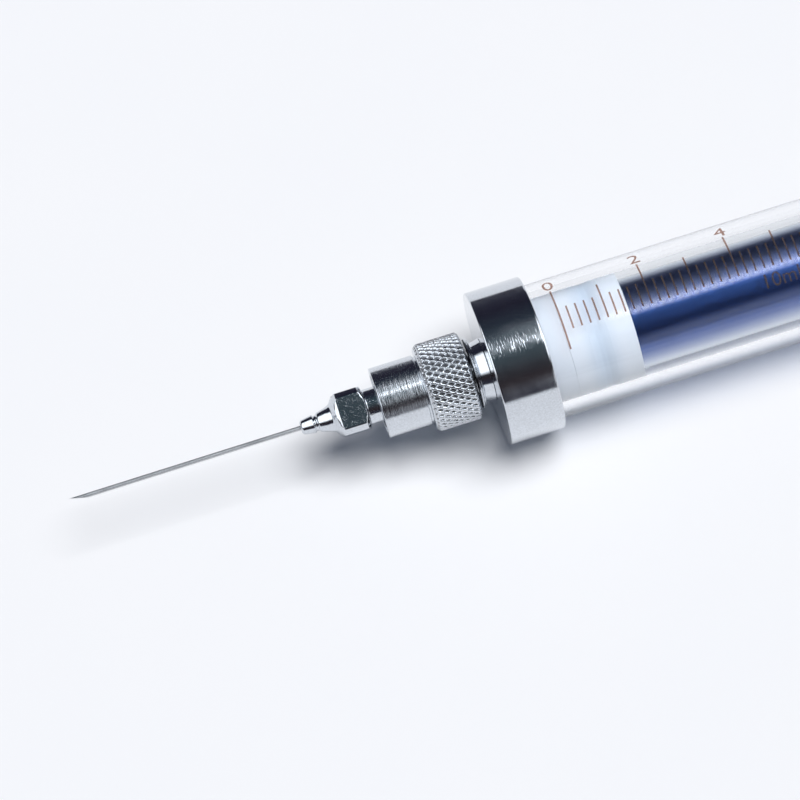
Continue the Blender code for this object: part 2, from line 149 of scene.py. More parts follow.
def light_studio():
    """Mirror-like surfaces see a dark room with a graded ceiling, soft panels and a white horizon. Everything
    else sees dim, even, bluish air, and the broad lamp overhead adds the light and the soft shadow."""
    world = bpy.data.worlds.new("studio")
    world.use_nodes = True
    world.cycles.sampling_method = "NONE"
    tree = world.node_tree
    tree.nodes.clear()
    direction = add(tree.nodes, "ShaderNodeTexCoord").outputs["Generated"]
    split = add(tree.nodes, "ShaderNodeSeparateXYZ")
    tree.links.new(direction, split.inputs[0])
    x, y, z = split.outputs
    turn = math_node(tree, "ARCTAN2", z, math_node(tree, "MULTIPLY", y, -1.0))

    ceiling = add(tree.nodes, "ShaderNodeValToRGB")
    tree.links.new(math_node(tree, "MULTIPLY", turn, 1 / math.pi), ceiling.inputs[0])
    stops = ceiling.color_ramp.elements
    while len(stops) < len(CEILING):
        stops.new(0.5)
    for stop, (angle, colour) in zip(stops, CEILING):
        stop.position = angle / 180
        stop.color = (*colour, 1)

    horizon_radiance = 0.86
    horizon = math_node(tree, "MULTIPLY", ramp(tree, z, 0.09, 0.02), ramp(tree, y, 0.1, -0.1))
    white = math_node(tree, "MULTIPLY", horizon, horizon_radiance)
    for edges, ends, soft, radiance in PANELS:
        white = math_node(tree, "ADD", white, light_panel(tree, turn, x, edges, ends, soft, radiance))
    glow = add(tree.nodes, "ShaderNodeVectorMath", operation="SCALE")
    glow.inputs[0].default_value = (0.93, 0.96, 1.0)
    tree.links.new(white, glow.inputs["Scale"])
    room = add(tree.nodes, "ShaderNodeVectorMath", operation="ADD")
    tree.links.new(glow.outputs[0], room.inputs[0])
    tree.links.new(ceiling.outputs[0], room.inputs[1])

    dark_room = add(tree.nodes, "ShaderNodeBackground")
    tree.links.new(room.outputs[0], dark_room.inputs["Color"])
    bright_air = add(tree.nodes, "ShaderNodeBackground", Color=(0.70, 0.88, 1.26, 1), Strength=0.075)
    path = add(tree.nodes, "ShaderNodeLightPath")
    seen = add(tree.nodes, "ShaderNodeMixShader")
    tree.links.new(path.outputs["Is Glossy Ray"], seen.inputs[0])
    tree.links.new(bright_air.outputs[0], seen.inputs[1])
    tree.links.new(dark_room.outputs[0], seen.inputs[2])
    output = add(tree.nodes, "ShaderNodeOutputWorld")
    tree.links.new(seen.outputs[0], output.inputs["Surface"])
    bpy.context.scene.world = world

    lamp = bpy.data.lights.new("overhead_light", "SUN")
    lamp.energy, lamp.angle, lamp.color = 3.24, math.radians(38), (1.0, 0.98, 0.955)
    sun = bpy.data.objects.new("overhead_light", lamp)
    bpy.context.scene.collection.objects.link(sun)
    sun.rotation_mode = "QUATERNION"
    sun.rotation_quaternion = Vector((0.30, -0.11, 1.0)).to_track_quat("Z", "Y")
    sun.visible_glossy = False
    sun.visible_transmission = False


def lay_floor():
    """A white sheet under the syringe, faintly mottled."""
    half = 2.5
    mesh = bpy.data.meshes.new("floor")
    corners = [(-half, -half, 0), (half, -half, 0), (half, half, 0), (-half, half, 0)]
    mesh.from_pydata(corners, [], [(0, 1, 2, 3)])
    floor = bpy.data.objects.new("floor", mesh)
    floor.location.z = -0.0001
    bpy.context.scene.collection.objects.link(floor)
    material = bpy.data.materials.new("white_sheet")
    material.use_nodes = True
    tree = material.node_tree
    shader = tree.nodes["Principled BSDF"]
    coordinates = add(tree.nodes, "ShaderNodeTexCoord")
    mottle = add(tree.nodes, "ShaderNodeTexNoise", Scale=30.0, Detail=2.0)
    tree.links.new(coordinates.outputs["Object"], mottle.inputs["Vector"])
    tint = add(tree.nodes, "ShaderNodeMix", data_type="RGBA")
    tint.inputs["A"].default_value = (0.875, 0.90, 0.945, 1)
    tint.inputs["B"].default_value = (0.895, 0.915, 0.95, 1)
    tree.links.new(mottle.outputs[0], tint.inputs["Factor"])
    tree.links.new(tint.outputs["Result"], shader.inputs["Base Color"])
    shader.inputs["Roughness"].default_value = 0.9
    shader.inputs["Specular IOR Level"].default_value = 0.1
    floor.data.materials.append(material)


bpy.context.scene.view_settings.view_transform = "Standard"
aim_camera()
light_studio()
lay_floor()

# --------------------------------------------------------------------------------------- the front cap
# A cup of chromed brass, cemented over the front of the glass. Its rim and face are turned, so fine rings
# run round it, its edges are broken by hand, and small nicks lie in a band along it near the top.

# A rounded edge: (1 - t)^2 for t from 0 to 1 in quarters, with a flat run of half the reach at either end.
EDGE_BACK = np.array([1.5, 1, 0.5625, 0.25, 0.0625, 0, 0])
EDGE_AHEAD = EDGE_BACK[::-1]


def eased(corners, ease, ring=True):
    """Rounds an outline of (station, radius) corners. At each corner P the outline follows the quadratic arc
    P - reach (1 - t)^2 into + reach t^2 out, with a short flat run on each side that keeps the shading true.
    The outline closes on itself, or if ring is False it ends on the axis at both ends."""
    corner = np.array(corners, float)
    into = corner - np.roll(corner, 1, axis=0)
    out = np.roll(corner, -1, axis=0) - corner
    into_length, out_length = np.linalg.norm(into, axis=1), np.linalg.norm(out, axis=1)
    reach = np.minimum(ease, 0.3 * np.minimum(into_length, out_length))
    if not ring:
        reach[[0, -1]] = 0
    into *= (reach / into_length)[:, None]
    out *= (reach / out_length)[:, None]
    outline = corner[:, None] - EDGE_BACK[:, None] * into[:, None] + EDGE_AHEAD[:, None] * out[:, None]
    outline = outline.reshape(-1, 2)
    return outline[:, 0], outline[:, 1]


def turned(name, stations, radii, around=192, ring=True):
    """A surface round the syringe's axis on a grid of outline points by angles a: x = station, y = -r cos a,
    z = r sin a above the axis. stations and radii are one value a row, or one a grid point."""
    rows = max(len(stations), len(radii))
    angle = 2 * np.pi * np.arange(around) / around
    shape = (rows, around)
    station = np.broadcast_to(np.reshape(stations, (rows, -1)), shape)
    radius = np.broadcast_to(np.reshape(radii, (rows, -1)), shape)
    x = CAP_FRONT + station * MM
    y = -radius * np.cos(angle) * MM
    z = AXIS_HEIGHT + radius * np.sin(angle) * MM
    points = np.stack([x, y, z], axis=-1).reshape(-1, 3)
    row, column = np.meshgrid(np.arange(rows if ring else rows - 1), np.arange(around), indexing="ij")
    next_row, next_column = (row + 1) % rows, (column + 1) % around
    corners = [row * around + column, row * around + next_column]
    corners += [next_row * around + next_column, next_row * around + column]
    quads = np.stack(corners, axis=-1).reshape(-1, 4)
    mesh = bpy.data.meshes.new(name)
    mesh.from_pydata(points.tolist(), [], quads.tolist())
    return finished(name, mesh)


def finished(name, mesh):
    """The mesh with its doubled points merged and its faces turned outwards and smooth, as an object."""
    shape = bmesh.new()
    shape.from_mesh(mesh)
    bmesh.ops.remove_doubles(shape, verts=shape.verts, dist=1e-7)
    bmesh.ops.recalc_face_normals(shape, faces=shape.faces)
    shape.to_mesh(mesh)
    shape.free()
    mesh.shade_smooth()
    obj = bpy.data.objects.new(name, mesh)
    bpy.context.scene.collection.objects.link(obj)
    return obj


def turned_metal(
    name, colour, roughness, groove_depth, groove_pitch=0.12, pit_depth=0.002, nicks=0.0,
    nick_scale=(9000, 1000, 1000), nick_turn=None,
):
    """Lathe-turned metal: fine rings round the axis that come and go, short nicks, small pits, a satin
    grain and uneven polish. Depths and the pitch are millimetres; nick_scale is the nicks' count a metre
    along each axis, and nick_turn keeps them between two angles over the camera side's horizon, in
    degrees."""
    material = bpy.data.materials.new(name)
    material.use_nodes = True
    tree = material.node_tree
    shader = tree.nodes["Principled BSDF"]
    shader.inputs["Metallic"].default_value = 1.0
    place = add(tree.nodes, "ShaderNodeTexCoord").outputs["Object"]
    grain = add(tree.nodes, "ShaderNodeTexNoise", Scale=4500.0, Detail=3.0)
    tree.links.new(place, grain.inputs["Vector"])
    satin = add(tree.nodes, "ShaderNodeMix", data_type="RGBA")
    satin.inputs["A"].default_value = (*(0.72 * part for part in colour), 1)
    satin.inputs["B"].default_value = (*(1.22 * part for part in colour), 1)
    tree.links.new(grain.outputs[0], satin.inputs["Factor"])
    tree.links.new(satin.outputs["Result"], shader.inputs["Base Color"])
    stretch = add(tree.nodes, "ShaderNodeMapping")
    along, round_it = 1 / (groove_pitch * MM), 250.0
    stretch.inputs["Scale"].default_value = (along, round_it, round_it)
    tree.links.new(place, stretch.inputs["Vector"])
    rings = add(tree.nodes, "ShaderNodeTexNoise", Scale=1.0, Detail=3.0, Roughness=0.6)
    tree.links.new(stretch.outputs[0], rings.inputs["Vector"])
    groove = add(tree.nodes, "ShaderNodeBump", Strength=1.0, Distance=groove_depth * MM)
    tree.links.new(rings.outputs[0], groove.inputs["Height"])
    nick_stretch = add(tree.nodes, "ShaderNodeMapping")
    nick_stretch.inputs["Scale"].default_value = nick_scale
    tree.links.new(place, nick_stretch.inputs["Vector"])
    knocks = add(tree.nodes, "ShaderNodeTexNoise", Scale=1.0, Detail=0.0)
    tree.links.new(nick_stretch.outputs[0], knocks.inputs["Vector"])
    nick = add(tree.nodes, "ShaderNodeBump", Strength=1.0, Distance=nicks * MM, invert=True)
    knocked = ramp(tree, knocks.outputs[0], 0.64, 0.74)
    if nick_turn:
        split = add(tree.nodes, "ShaderNodeSeparateXYZ")
        tree.links.new(place, split.inputs[0])
        rise = math_node(tree, "SUBTRACT", split.outputs[2], AXIS_HEIGHT)
        turn = math_node(tree, "ARCTAN2", rise, math_node(tree, "MULTIPLY", split.outputs[1], -1.0))
        low, high = (math.radians(angle) for angle in nick_turn)
        soft = math.radians(3)
        for edge, fade in ((low, soft), (high, -soft)):
            knocked = math_node(tree, "MULTIPLY", knocked, ramp(tree, turn, edge - fade, edge + fade))
    tree.links.new(knocked, nick.inputs["Height"])
    tree.links.new(groove.outputs[0], nick.inputs["Normal"])
    pits = add(tree.nodes, "ShaderNodeTexNoise", Scale=2500.0, Detail=2.0)
    tree.links.new(place, pits.inputs["Vector"])
    pitting = add(tree.nodes, "ShaderNodeBump", Strength=1.0, Distance=pit_depth * MM)
    tree.links.new(pits.outputs[0], pitting.inputs["Height"])
    tree.links.new(nick.outputs[0], pitting.inputs["Normal"])
    tree.links.new(pitting.outputs[0], shader.inputs["Normal"])
    smears = add(tree.nodes, "ShaderNodeTexNoise", Scale=350.0, Detail=4.0)
    tree.links.new(place, smears.inputs["Vector"])
    polish = add(tree.nodes, "ShaderNodeMapRange")
    polish.inputs["To Min"].default_value = roughness * 0.6
    polish.inputs["To Max"].default_value = roughness * 1.6
    tree.links.new(smears.outputs[0], polish.inputs["Value"])
    tree.links.new(polish.outputs[0], shader.inputs["Roughness"])
    return material


def fit(piece, body, slot, material, *nodes):
    """Gives the piece its material, and says what it moves with and which CAD nodes it stands for."""
    piece.data.materials.clear()
    piece.data.materials.append(material)
    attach(piece, body)
    if nodes:
        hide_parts(*nodes)


def span(node):
    """A CAD node's front and rear stations and its half width across Y, in mm."""
    low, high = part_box(node)
    return (low.x - CAP_FRONT) / MM, (high.x - CAP_FRONT) / MM, (high.y - low.y) / 2 / MM


CHROME = (0.66, 0.69, 0.73)
chrome = turned_metal("bright_chrome", CHROME, 0.10, 0.0008, nicks=0.006, nick_turn=(66, 77))

cap_front, cap_rear, cap_radius = span("front_cap")
glass_front, glass_rear, glass_radius = span("glass_barrel")
cap_wall, stem_hole = 1.6, 2.95
stations, radii = eased(
    [
        (cap_front, cap_radius),
        (cap_rear, cap_radius),
        (cap_rear, glass_radius + 0.04),
        (cap_wall, glass_radius + 0.04),
        (cap_wall, stem_hole),
        (cap_front, stem_hole),
    ],
    0.22,
)
fit(turned("cap_shell", stations, radii), "barrel", "bright_chrome", chrome, "front_cap")

# ------------------------------------------------------------------------------------------- the glass
# A tube of clear borosilicate with a ground and polished bore, its ends softened in a flame. It is
# cemented into the metal at both ends.

bore_radius = 7.285


def clear_glass():
    """Clear glass that lets lamps through to what it holds."""
    material = bpy.data.materials.new("borosilicate")
    material.use_nodes = True
    tree = material.node_tree
    shader = tree.nodes["Principled BSDF"]
    shader.inputs["Base Color"].default_value = (0.985, 0.993, 1.0, 1)
    shader.inputs["Roughness"].default_value = 0.0
    shader.inputs["IOR"].default_value = 1.473
    shader.inputs["Transmission Weight"].default_value = 1.0
    through = add(tree.nodes, "ShaderNodeBsdfTransparent", Color=(0.78, 0.81, 0.87, 1))
    path = add(tree.nodes, "ShaderNodeLightPath")
    either = add(tree.nodes, "ShaderNodeMixShader")
    tree.links.new(path.outputs["Is Shadow Ray"], either.inputs[0])
    tree.links.new(shader.outputs[0], either.inputs[1])
    tree.links.new(through.outputs[0], either.inputs[2])
    tree.links.new(either.outputs[0], tree.nodes["Material Output"].inputs["Surface"])
    return material


stations, radii = eased(
    [
        (glass_front, glass_radius),
        (glass_rear, glass_radius),
        (glass_rear, bore_radius),
        (glass_front, bore_radius),
    ],
    0.45,
)
fit(turned("barrel_tube", stations, radii, 256), "barrel", "barrel_glass", clear_glass(), "glass_barrel")

# ------------------------------------------------------------------------------------------- the scale
# Brown enamel fired onto the glass: a line every 0.2 mL, longer ones every 1 and 2 mL, and a number every
# 2 mL. Angles count round the barrel from the camera side's horizon, so that 90 is straight up.

zero_station = 10.57
ml = 6.0
line_width, enamel = 0.24, 0.02
line_foot = 70.7
short_top, one_top, two_top, zero_foot = 91.6, 103.0, 112.0, 55.0
number_middle, number_height = 120.0, 2.35
label_middle, label_height, label_station = 59.0, 2.0, 37.1


def enamel_ink():
    """A brown enamel in a very fine layer: it tints what is seen through it more than it covers it."""
    material = bpy.data.materials.new("brown_enamel")
    material.use_nodes = True
    tree = material.node_tree
    shader = tree.nodes["Principled BSDF"]
    place = add(tree.nodes, "ShaderNodeTexCoord").outputs["Object"]
    speckle = add(tree.nodes, "ShaderNodeTexNoise", Scale=9000.0, Detail=2.0)
    tree.links.new(place, speckle.inputs["Vector"])
    shade = add(tree.nodes, "ShaderNodeMix", data_type="RGBA")
    shade.inputs["A"].default_value = (0.22, 0.19, 0.19, 1)
    shade.inputs["B"].default_value = (0.34, 0.30, 0.30, 1)
    tree.links.new(speckle.outputs[0], shade.inputs["Factor"])
    tree.links.new(shade.outputs["Result"], shader.inputs["Base Color"])
    shader.inputs["Roughness"].default_value = 0.45
    stain = add(tree.nodes, "ShaderNodeBsdfTransparent", Color=(0.72, 0.56, 0.50, 1))
    film = add(tree.nodes, "ShaderNodeMixShader")
    film.inputs[0].default_value = 0.14
    tree.links.new(stain.outputs[0], film.inputs[1])
    tree.links.new(shader.outputs[0], film.inputs[2])
    tree.links.new(film.outputs[0], tree.nodes["Material Output"].inputs["Surface"])
    return material


def scale_lines():
    """Each line is a strip round the barrel between its foot and top angles a: x = station, y = -r cos a and
    z = r sin a above the axis, all on one grid of lines by steps by the two sides."""
    steps, across = 16, 2
    fifths = np.arange(51)
    foot = np.where(fifths == 0, zero_foot, line_foot)
    top = np.select([fifths % 10 == 0, fifths % 5 == 0], [two_top, one_top], short_top)
    share = np.linspace(0, 1, steps + 1)
    angle = np.radians(foot[:, None] + (top - foot)[:, None] * share)[:, :, None]
    station = zero_station + ml * fifths[:, None, None] / 5 + line_width * np.array([-0.5, 0.5])
    radius = (glass_radius + enamel / 2) * MM
    shape = (len(fifths), steps + 1, across)
    x = np.broadcast_to(CAP_FRONT + station * MM, shape)
    y = np.broadcast_to(-radius * np.cos(angle), shape)
    z = np.broadcast_to(AXIS_HEIGHT + radius * np.sin(angle), shape)
    points = np.stack([x, y, z], axis=-1).reshape(-1, 3)
    line, step = np.meshgrid(np.arange(len(fifths)), np.arange(steps), indexing="ij")
    corner = line * (steps + 1) * across + step * across
    quads = np.stack([corner, corner + 1, corner + 1 + across, corner + across], axis=-1).reshape(-1, 4)
    mesh = bpy.data.meshes.new("scale_lines")
    mesh.from_pydata(points.tolist(), [], quads.tolist())
    return printed("scale_lines", mesh)


def printed(name, mesh):
    """A flat print on the glass, with its faces turned one way and then given the enamel's thickness."""
    shape = bmesh.new()
    shape.from_mesh(mesh)
    bmesh.ops.recalc_face_normals(shape, faces=shape.faces)
    shape.to_mesh(mesh)
    shape.free()
    obj = bpy.data.objects.new(name, mesh)
    bpy.context.scene.collection.objects.link(obj)
    layer = obj.modifiers.new("Enamel", "SOLIDIFY")
    layer.thickness = enamel * MM
    layer.offset = 0
    return obj


def wrapped_text(name, text, height, station, middle):
    """Numbers that run along the barrel: the way along the baseline becomes station, and the height above it,
    over the radius, an angle."""
    curve = bpy.data.curves.new(name, "FONT")
    curve.body = text
    curve.align_x = "CENTER" if len(text) < 3 else "LEFT"
    curve.align_y = "CENTER"
    capital_share = 0.72
    curve.size = height / capital_share
    curve.resolution_u = 4
    flat = bpy.data.objects.new(name, curve)
    bpy.context.scene.collection.objects.link(flat)
    mesh = bpy.data.meshes.new_from_object(flat.evaluated_get(bpy.context.evaluated_depsgraph_get()))
    bpy.data.objects.remove(flat, do_unlink=True)
    shape = bmesh.new()
    shape.from_mesh(mesh)
    bmesh.ops.remove_doubles(shape, verts=shape.verts, dist=1e-5)
    for level in np.linspace(-height, height, 17):
        every = list(shape.verts) + list(shape.edges) + list(shape.faces)
        bmesh.ops.bisect_plane(shape, geom=every, plane_co=(0, level, 0), plane_no=(0, 1, 0))
    shape.to_mesh(mesh)
    shape.free()
    flat_points = np.empty(len(mesh.vertices) * 3, np.float32)
    mesh.vertices.foreach_get("co", flat_points)
    flat_points = flat_points.reshape(-1, 3)
    radius = glass_radius + enamel / 2
    angle = math.radians(middle) + flat_points[:, 1] / radius
    bent = np.empty_like(flat_points)
    bent[:, 0] = CAP_FRONT + (station + flat_points[:, 0]) * MM
    bent[:, 1] = -radius * np.cos(angle) * MM
    bent[:, 2] = AXIS_HEIGHT + radius * np.sin(angle) * MM
    mesh.vertices.foreach_set("co", bent.ravel())
    mesh.update()
    return printed(name, mesh)


ink = enamel_ink()
fit(scale_lines(), "barrel", "barrel_glass", ink)
for volume in range(0, 11, 2):
    number = wrapped_text(
        f"number_{volume}", str(volume), number_height, zero_station + ml * volume, number_middle
    )
    fit(number, "barrel", "barrel_glass", ink)
label = wrapped_text("capacity_mark", "10mL", label_height, label_station, label_middle)
fit(label, "barrel", "barrel_glass", ink)

# -------------------------------------------------------------------------------------- the white plug
# A plug of PTFE pressed into the bore behind the cap, and bored for the stem, its nut and its seal. The
# piston stops against it at the zero line.


def ptfe(name, painted_shade_station=None):
    """Machined PTFE: chalky white with a faint blue cast and fine tool rings. Round the given station, in mm,
    a bluish shade is painted into the colour: the shade that lies in the piston's waist."""
    material = bpy.data.materials.new(name)
    material.use_nodes = True
    tree = material.node_tree
    shader = tree.nodes["Principled BSDF"]
    place = add(tree.nodes, "ShaderNodeTexCoord").outputs["Object"]
    cloud = add(tree.nodes, "ShaderNodeTexNoise", Scale=260.0, Detail=3.0)
    tree.links.new(place, cloud.inputs["Vector"])
    shade = add(tree.nodes, "ShaderNodeMix", data_type="RGBA")
    shade.inputs["A"].default_value = (0.80, 0.845, 0.88, 1)
    shade.inputs["B"].default_value = (0.86, 0.895, 0.93, 1)
    tree.links.new(cloud.outputs[0], shade.inputs["Factor"])
    colour = shade.outputs["Result"]
    # Painted shade: a bluish band round the given station, where the piston's waist lies in shade.
    if painted_shade_station is not None:
        split = add(tree.nodes, "ShaderNodeSeparateXYZ")
        tree.links.new(place, split.inputs[0])
        reach = 3.2
        off = math_node(tree, "SUBTRACT", split.outputs[0], CAP_FRONT + painted_shade_station * MM)
        away = math_node(tree, "ABSOLUTE", off)
        painted_waist_shade = add(tree.nodes, "ShaderNodeMix", data_type="RGBA")
        tree.links.new(ramp(tree, away, reach * MM, 0.0), painted_waist_shade.inputs["Factor"])
        tree.links.new(colour, painted_waist_shade.inputs["A"])
        painted_waist_shade.inputs["B"].default_value = (0.66, 0.74, 0.82, 1)
        colour = painted_waist_shade.outputs["Result"]
    tree.links.new(colour, shader.inputs["Base Color"])
    stretch = add(tree.nodes, "ShaderNodeMapping")
    stretch.inputs["Scale"].default_value = (6000, 120, 120)
    tree.links.new(place, stretch.inputs["Vector"])
    rings = add(tree.nodes, "ShaderNodeTexNoise", Scale=1.0, Detail=2.0)
    tree.links.new(stretch.outputs[0], rings.inputs["Vector"])
    tool_marks = add(tree.nodes, "ShaderNodeBump", Strength=1.0, Distance=0.006 * MM)
    tree.links.new(rings.outputs[0], tool_marks.inputs["Height"])
    tree.links.new(tool_marks.outputs[0], shader.inputs["Normal"])
    shader.inputs["Roughness"].default_value = 0.5
    shader.inputs["Specular IOR Level"].default_value = 0.35
    return material


white = ptfe("white_ptfe")
plug_front, plug_rear, _ = span("front_plug")
plug_radius, spigot_hole = bore_radius - 0.03, 1.9
gland_radius, gland_end = 3.2, 6.6
nut_pocket, pocket_end = 5.1, 5.0
stations, radii = eased(
    [
        (plug_front, plug_radius),
        (plug_rear + 0.28, plug_radius),
        (plug_rear + 0.28, spigot_hole),
        (gland_end, spigot_hole),
        (gland_end, gland_radius),
        (pocket_end, gland_radius),
        (pocket_end, nut_pocket),
        (plug_front, nut_pocket),
    ],
    0.04,
)
fit(turned("sealing_plug", stations, radii), "barrel", "white_ptfe", white, "front_plug")

# ------------------------------------------------------------------------------------------ the piston
# A PTFE cup with two lips and a shallow waist, over a metal core. Two O-rings between the core and the cup
# push its lips out against the glass.

piston_front, piston_rear, _ = span("piston_head")
cup_radius, cup_floor = 5.3, piston_front + 1.8
lip, waist = bore_radius - 0.02, bore_radius - 0.2
stations, radii = eased(
    [
        (piston_front, 0),
        (piston_front, lip),
        (piston_front + 2.9, lip),
        (piston_front + 3.9, waist),
        (piston_front + 4.6, waist),
        (piston_front + 5.6, lip),
        (piston_rear, lip),
        (piston_rear, cup_radius),
        (cup_floor, cup_radius),
        (cup_floor, 0),
    ],
    0.05,
    ring=False,
)
# The cup's colour carries a band of painted shade at its waist.
cup_white = ptfe("white_ptfe_cup", painted_shade_station=piston_front + 4.2)
fit(turned("piston_cup", stations, radii, ring=False), "plunger", "white_ptfe", cup_white, "piston_head")

# ------------------------------------------------------------------------------------- the plunger rod
# A polished aluminium tube dyed deep blue in its anodised skin, so a clear hard layer lies over blue
# metal. A threaded insert is pressed into each end.


def blue_anodised():
    """Blue metal under a clear coat, with a pale sheen painted into its colour where it is seen at a slant,
    and faint polishing rings.
    """
    material = bpy.data.materials.new("blue_anodised")
    material.use_nodes = True
    tree = material.node_tree
    shader = tree.nodes["Principled BSDF"]
    place = add(tree.nodes, "ShaderNodeTexCoord").outputs["Object"]
    cloud = add(tree.nodes, "ShaderNodeTexNoise", Scale=180.0, Detail=3.0)
    tree.links.new(place, cloud.inputs["Vector"])
    shade = add(tree.nodes, "ShaderNodeMix", data_type="RGBA")
    shade.inputs["A"].default_value = (0.038, 0.095, 0.34, 1)
    shade.inputs["B"].default_value = (0.055, 0.125, 0.42, 1)
    tree.links.new(cloud.outputs[0], shade.inputs["Factor"])
    # Painted sheen: the blue pales towards a light grey-blue where the surface is seen at a slant, standing
    # in for reflected light.
    glance = add(tree.nodes, "ShaderNodeLayerWeight", Blend=0.5)
    painted_slant_sheen = add(tree.nodes, "ShaderNodeMix", data_type="RGBA")
    painted_slant_sheen.inputs["B"].default_value = (0.64, 0.70, 0.78, 1)
    tree.links.new(ramp(tree, glance.outputs["Facing"], 0.14, 0.8), painted_slant_sheen.inputs["Factor"])
    tree.links.new(shade.outputs["Result"], painted_slant_sheen.inputs["A"])
    tree.links.new(painted_slant_sheen.outputs["Result"], shader.inputs["Base Color"])
    stretch = add(tree.nodes, "ShaderNodeMapping")
    stretch.inputs["Scale"].default_value = (5000, 150, 150)
    tree.links.new(place, stretch.inputs["Vector"])
    rings = add(tree.nodes, "ShaderNodeTexNoise", Scale=1.0, Detail=2.0)
    tree.links.new(stretch.outputs[0], rings.inputs["Vector"])
    polish_marks = add(tree.nodes, "ShaderNodeBump", Strength=1.0, Distance=0.0004 * MM)
    tree.links.new(rings.outputs[0], polish_marks.inputs["Height"])
    tree.links.new(polish_marks.outputs[0], shader.inputs["Normal"])
    shader.inputs["Metallic"].default_value = 1.0
    shader.inputs["Roughness"].default_value = 0.3
    shader.inputs["Coat Weight"].default_value = 1.0
    shader.inputs["Coat IOR"].default_value = 1.65
    shader.inputs["Coat Roughness"].default_value = 0.07
    return material


_, rod_rear, rod_radius = span("plunger_rod")
rod_bore = 5.05
stations, radii = eased(
    [
        (piston_rear + 0.02, rod_radius),
        (rod_rear + 0.28, rod_radius),
        (rod_rear + 0.28, rod_bore),
        (piston_rear + 0.02, rod_bore),
    ],
    0.2,
)
fit(turned("rod_tube", stations, radii, 256), "plunger", "blue_anodised", blue_anodised(), "plunger_rod")

# --------------------------------------------------------------------------------------- the Luer stem
# One turned piece of chromed brass: the rings and neck that show behind the collar, and inside the collar its
# journal and the male cone that the needle's hub seats on. It is bolted through the cap.

stem_front, stem_rear, _ = span("luer_stem")
stations, radii = eased(
    [
        (stem_front, 1.86),
        (-10.2, 2.175),
        (-10.2, 2.9),
        (-9.65, 2.9),
        (-9.65, 2.35),
        (-8.5, 2.35),
        (-8.5, 2.9),
        (-2.2, 2.9),
        (-2.2, 4.75),
        (-2.0, 4.98),
        (-1.85, 4.98),
        (-1.85, 4.45),
        (-1.7, 4.45),
        (-1.7, 4.7),
        (-1.55, 4.7),
        (-1.55, 3.98),
        (-0.02, 4.33),
        (-0.02, 2.65),
        (4.7, 2.65),
        (4.7, 1.75),
        (stem_rear, 1.75),
        (stem_rear, 0.75),
        (stem_front, 0.75),
    ],
    0.08,
)
smooth_chrome = turned_metal("smooth_chrome", CHROME, 0.08, 0.0001)
fit(turned("luer_neck", stations, radii), "barrel", "bright_chrome", smooth_chrome, "luer_stem")

# ------------------------------------------------------------------------------------- the lock collar
# A chromed brass nut that spins on the stem. Its nose is turned smooth, its grip is rolled with a diamond
# knurl, and a two-start thread runs inside its mouth for the lugs of the needle's hub.

collar_front, collar_rear, knurl_radius = span("luer_collar")
nose_radius, mouth_radius, bearing_radius = 4.85, 4.05, 2.96
knurl_front, collar_floor = -8.85, -8.5
knurl_starts, knurl_depth, knurl_slant = 42, 0.36, math.tan(math.radians(30))
thread_lead, thread_wire, lug_station = 5.0, 0.5, -11.8
thread_start, thread_end, thread_fade = -14.8, -9.9, 0.4


def with_rows(stations, radii, longest, step, plain=()):
    """The closed outline with extra rows, step apart, on each straight run longer than longest, except the
    cylinders whose radius is in plain."""
    run = np.hypot(np.roll(stations, -1) - stations, np.roll(radii, -1) - radii)
    smooth = np.isclose(radii[:, None], np.array(plain)[None, :]).any(axis=1)
    parts = np.where((run > longest) & ~smooth, np.ceil(run / step), 1).astype(int)
    row = np.repeat(np.arange(len(run)), parts)
    share = (np.arange(len(row)) - np.repeat(np.cumsum(parts) - parts, parts)) / parts[row]
    after = (row + 1) % len(run)
    stations = stations[row] + (stations[after] - stations[row]) * share
    return stations, radii[row] + (radii[after] - radii[row]) * share


def round_angles(around):
    """The angles of turned()'s columns, 0 level on the camera's side and a quarter turn straight up."""
    return (2 * np.pi * np.arange(around) / around)[None, :]


def knurl_pits(station, angle):
    """The depth of a rolled diamond knurl. Ridges cross at 30 degrees to either side of the axis,
    knurl_starts of each round the ring, and a flat-floored pit lies where both have fallen away: knurl_depth
    times the smaller of left - left_ridge and right - right_ridge, over fall, held between 0 and 1."""
    slant = knurl_slant * station / knurl_radius
    left_ridge, right_ridge, fall = 0.42, 0.2, 0.22
    left = np.abs(2 * ((knurl_starts * (angle + slant) / (2 * np.pi)) % 1) - 1)
    right = np.abs(2 * ((knurl_starts * (angle - slant) / (2 * np.pi)) % 1) - 1)
    return knurl_depth * np.clip(np.minimum(left - left_ridge, right - right_ridge) / fall, 0, 1)


def dirty_pits(material):
    """Paints shade into the metal's colour where it lies below the knurl's crests, darker down in the pits.
    """
    tree = material.node_tree
    shader = tree.nodes["Principled BSDF"]
    place = add(tree.nodes, "ShaderNodeTexCoord").outputs["Object"]
    split = add(tree.nodes, "ShaderNodeSeparateXYZ")
    tree.links.new(place, split.inputs[0])
    x, y, z = split.outputs
    rise = math_node(tree, "SUBTRACT", z, AXIS_HEIGHT)
    squares = [math_node(tree, "MULTIPLY", side, side) for side in (y, rise)]
    radius = math_node(tree, "SQRT", math_node(tree, "ADD", *squares))
    # Painted shade: the colour darkens the deeper the surface lies below the knurl's crests.
    low = ramp(tree, radius, (knurl_radius - 0.1) * MM, (knurl_radius - 0.34) * MM)
    gripping = ramp(tree, x, CAP_FRONT + (knurl_front + 0.1) * MM, CAP_FRONT + (knurl_front + 0.5) * MM)
    shade = add(tree.nodes, "ShaderNodeMix", data_type="RGBA")
    unshaded_colour = shader.inputs["Base Color"].links[0].from_socket
    tree.links.new(unshaded_colour, shade.inputs["A"])
    # The dark colour of the shade painted into the pits.
    shade.inputs["B"].default_value = (0.12, 0.123, 0.13, 1)
    tree.links.new(math_node(tree, "MULTIPLY", low, gripping), shade.inputs["Factor"])
    tree.links.new(shade.outputs["Result"], shader.inputs["Base Color"])


